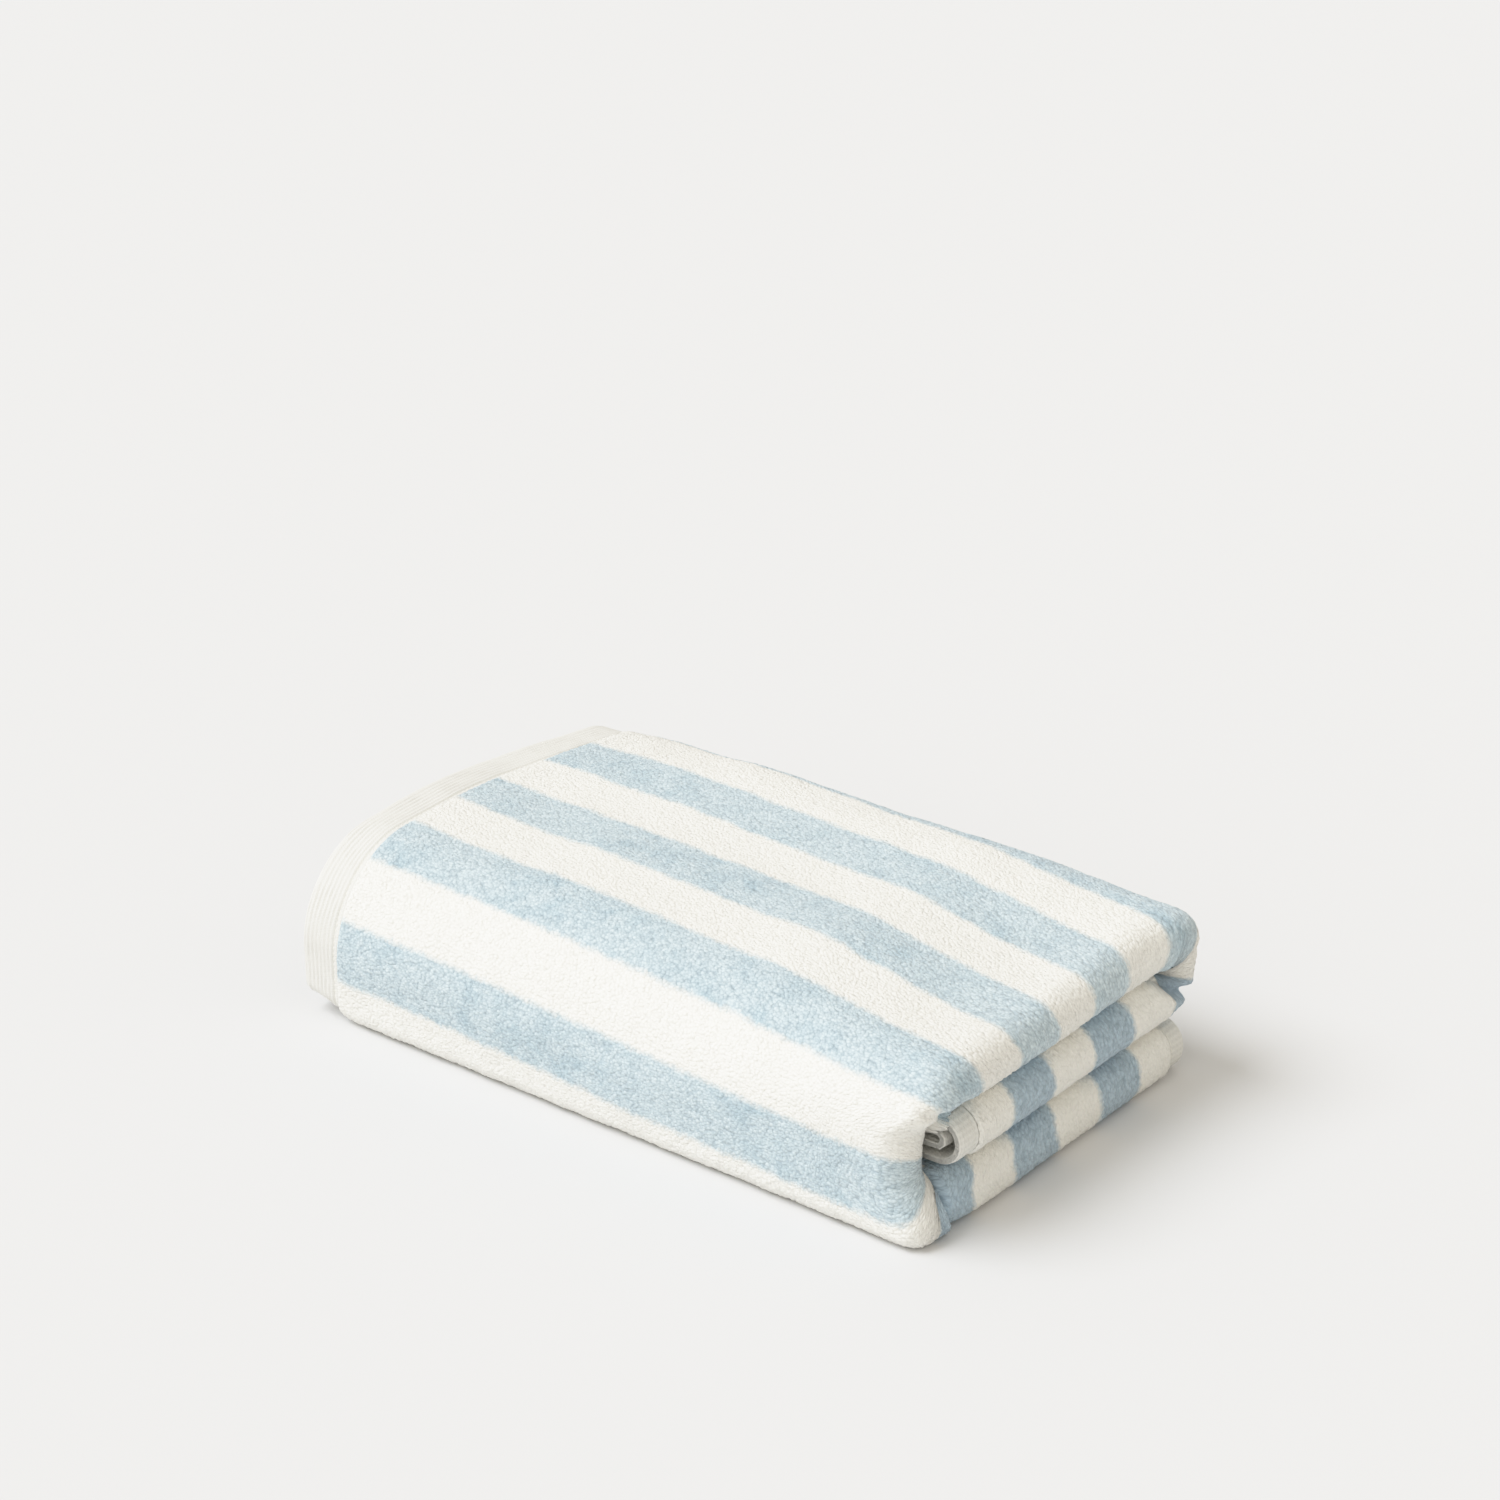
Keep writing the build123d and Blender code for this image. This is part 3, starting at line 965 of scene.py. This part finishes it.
def add_hood():
    """The hood: a tapered panel of plain velour and its woven face hem, folded away inside."""
    for name, start, end, material, slot in (
        ("hood_panel", HOOD_START, HOOD_HEM_START, PLAIN_VELOUR, "hood_velour"),
        ("hood_face_hem", HOOD_HEM_START, HOOD_END, WOVEN, "woven_hem"),
    ):
        across = spaced(start, end, 2.5 * MM)
        share = spaced(0, 1, 1 / 60)
        taper = HOOD_TAPER * (across - HOOD_START) / (HOOD_END - HOOD_START)
        x = LEFT + HOOD_FROM_END + share[:, None] * (HOOD_LENGTH - taper)[None]
        faces = []
        for side in (1, -1):
            wavy = 0.15 * MM * noise(x, across[None] + x * 0, 12 * MM, 61)
            y, z = section(across[None] + x * 0, HOOD_DEPTH - side * (HOOD_HALF + wavy), x)
            faces.append(settle(np.stack([x, y, z], -1)))
        piece = shell(f"{name}_cloth", faces, across)
        paint(piece, material)
        attach(piece, "base")
        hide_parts(name)


def shell(name, faces, across):
    """A closed thin shell from two grids of points."""
    count_u, count_v = faces[0].shape[:2]
    i, j = np.meshgrid(np.arange(count_u - 1), np.arange(count_v - 1), indexing="ij")
    a = (i * count_v + j).ravel()
    quads = np.stack([a, a + count_v, a + count_v + 1, a + 1], -1)
    first = count_u * count_v
    rim = list(range(count_v))
    rim += [k * count_v + count_v - 1 for k in range(1, count_u)]
    rim += [(count_u - 1) * count_v + k for k in range(count_v - 2, -1, -1)]
    rim += [k * count_v for k in range(count_u - 2, 0, -1)]
    sides = [(rim[k], rim[k - 1], rim[k - 1] + first, rim[k] + first) for k in range(len(rim))]
    mesh = bpy.data.meshes.new(name)
    points = np.concatenate([face.reshape(-1, 3) for face in faces])
    shapes = quads[:, ::-1].tolist() + (quads + first).tolist() + [s[::-1] for s in sides]
    mesh.from_pydata(points.tolist(), [], shapes)
    mesh.shade_smooth()
    lengths = np.zeros((len(points), 3), np.float32)
    lengths[:, 0] = points[:, 0]
    lengths[:, 1] = np.tile(across, count_u * 2)
    store_lengths(mesh, lengths)
    return new_object(name, mesh)


add_cloth()
add_end_hems()
add_side_hems()
add_stitches()
add_hood()

# ------------------------------------------------------------------ floor, light and camera
CAMERA_PLACE = (0.8227, -1.0330, 0.7145)
CAMERA_AZIMUTH = 38.3
CAMERA_PITCH = 23.7
CAMERA_LENS = 83.5
FLOOR_GREY = (0.78, 0.78, 0.78)
# (light, what it is shown as), both as linear values: straight up to 0.6, then a shoulder
SHOULDER = ((0.3, 0.3), (0.6, 0.6), (0.8, 0.775), (1.0, 0.90), (1.2, 0.965))
BRIGHTEST = 1.5  # shown as white


def add_floor():
    mesh = bpy.data.meshes.new("floor")
    reach = 40.0
    corners = [(-reach, -reach, 0), (reach, -reach, 0), (reach, reach, 0), (-reach, reach, 0)]
    mesh.from_pydata(corners, [], [(0, 1, 2, 3)])
    floor = new_object("floor", mesh)
    material, _, _, shader = new_material("floor")
    shader.inputs["Base Color"].default_value = (*FLOOR_GREY, 1)
    shader.inputs["Roughness"].default_value = 1.0
    shader.inputs["Specular IOR Level"].default_value = 0.0
    mesh.materials.append(material)


def add_sun(name, azimuth, elevation, strength, angle, colour):
    """azimuth as the camera's, in degrees: 0 shines along +Y, 90 along -X."""
    light = bpy.data.lights.new(name, "SUN")
    light.energy, light.angle, light.color = strength, math.radians(angle), colour
    sun = new_object(name, light)
    sun.rotation_euler = (math.radians(90 - elevation), 0, math.radians(azimuth))


def add_world(colour, strength):
    world = bpy.data.worlds.new("studio")
    world.use_nodes = True
    background = world.node_tree.nodes["Background"]
    background.inputs[0].default_value = (*colour, 1)
    background.inputs[1].default_value = strength
    bpy.context.scene.world = world


def add_camera():
    data = bpy.data.cameras.new("camera")
    data.sensor_width, data.lens = 36, CAMERA_LENS
    data.clip_start, data.clip_end = 0.05, 100
    camera = new_object("camera", data)
    camera.location = CAMERA_PLACE
    camera.rotation_euler = (math.radians(90 - CAMERA_PITCH), 0, math.radians(CAMERA_AZIMUTH))
    bpy.context.scene.camera = camera


def soften_highlights():
    """The plain view transform, with a film-like shoulder so that pale cloth doesn't clip."""
    view = bpy.context.scene.view_settings
    view.view_transform = "Standard"
    view.use_curve_mapping = True
    view.curve_mapping.white_level = (BRIGHTEST,) * 3
    curve = view.curve_mapping.curves[3]
    curve.points[0].location = (0, 0)
    curve.points[1].location = (1, 1)
    for light, shown in SHOULDER:
        curve.points.new(light / BRIGHTEST, shown)
    view.curve_mapping.update()


add_floor()
add_sun("key", azimuth=-49, elevation=52, strength=2.05, angle=40, colour=(0.955, 0.995, 1.06))
add_sun("fill", azimuth=-5, elevation=15, strength=0.55, angle=60, colour=(0.97, 1.0, 1.03))
add_world(colour=(1.0, 0.945, 0.85), strength=0.68)
add_camera()
soften_highlights()
